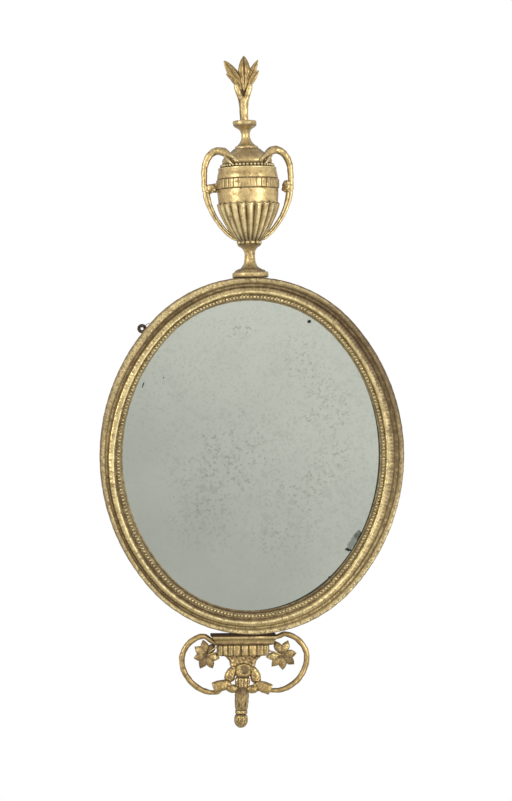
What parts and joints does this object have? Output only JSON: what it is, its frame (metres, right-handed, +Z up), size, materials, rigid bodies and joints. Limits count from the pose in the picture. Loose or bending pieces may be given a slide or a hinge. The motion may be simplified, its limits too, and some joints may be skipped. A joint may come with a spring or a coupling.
{
  "type": "wall mirror",
  "caption": "Oval wall mirror in a carved gilded frame with a bead ring, a gadrooned urn crest with handles and leaves, and a scrolled apron with a hanging bud.",
  "frame": {"origin": "centre of the oval on the outer face of the middle back plank", "axes": "+X to the right as seen from the front, +Y back towards the wall, +Z up along the oval's long axis"},
  "size_m": [0.6078, 0.0782, 1.3421],
  "materials": {
    "gilded_wood": "worn water gilding over gesso",
    "silvered_glass": "aged silvered glass",
    "bare_pine": "sawn pine, darkened",
    "dark_wood": "stained pine",
    "wrought_iron": "hammered, rusted",
    "brass": "aged"
  },
  "bodies": {
    "mirror": {"frame_top": "gilded_wood", "frame_right": "gilded_wood", "frame_bottom": "gilded_wood", "frame_left": "gilded_wood", "bead_string": "gilded_wood", "urn_foot": "gilded_wood", "urn_bead_rings": "gilded_wood", "urn_body": "gilded_wood", "urn_lid": "gilded_wood", "finial_stalk": "gilded_wood", "finial_leaf_centre": "gilded_wood", "finial_leaf_left": "gilded_wood", "finial_leaf_right": "gilded_wood", "finial_sprig_left": "gilded_wood", "finial_sprig_right": "gilded_wood", "handle_neck_left": "gilded_wood", "handle_neck_right": "gilded_wood", "handle_boss_left": "gilded_wood", "handle_boss_right": "gilded_wood", "handle_strap_left": "gilded_wood", "handle_strap_right": "gilded_wood", "apron_cornice": "gilded_wood", "apron_frieze": "gilded_wood", "apron_corbel": "gilded_wood", "scroll_left": "gilded_wood", "scroll_right": "gilded_wood", "leaf_spray_left": "gilded_wood", "leaf_spray_right": "gilded_wood", "husk_leaf_left": "gilded_wood", "husk_leaf_right": "gilded_wood", "bell_husk_left": "gilded_wood", "bell_husk_right": "gilded_wood", "pendant_hood": "gilded_wood", "pendant_calyx": "gilded_wood", "pendant_bud": "gilded_wood", "mirror_plate": "silvered_glass", "backboard_left": "bare_pine", "backboard_centre": "bare_pine", "backboard_right": "bare_pine", "glazing_blocks": "bare_pine", "apron_board": "dark_wood", "backboard_nails": "wrought_iron", "crest_stay": "wrought_iron", "crest_stay_screws": "wrought_iron", "apron_stay": "wrought_iron", "apron_stay_screws": "wrought_iron", "steady_eye": "wrought_iron", "steady_eye_screws": "wrought_iron", "tie_wire": "wrought_iron", "ring_plate_left": "brass", "ring_plate_right": "brass", "ring_plate_screws": "brass"},
    "left_ring": {"hanging_ring_left": "brass"},
    "right_ring": {"hanging_ring_right": "brass"}
  },
  "joints": [
    {"name": "left_ring_swing", "type": "hinge", "parent": "mirror", "child": "left_ring", "pos_m": [-0.12, 0.0036, 0.29257], "axis": [1, 0, 0], "range_deg": [0, 175]},
    {"name": "right_ring_swing", "type": "hinge", "parent": "mirror", "child": "right_ring", "pos_m": [0.12, 0.0036, 0.29257], "axis": [1, 0, 0], "range_deg": [0, 175]}
  ]
}
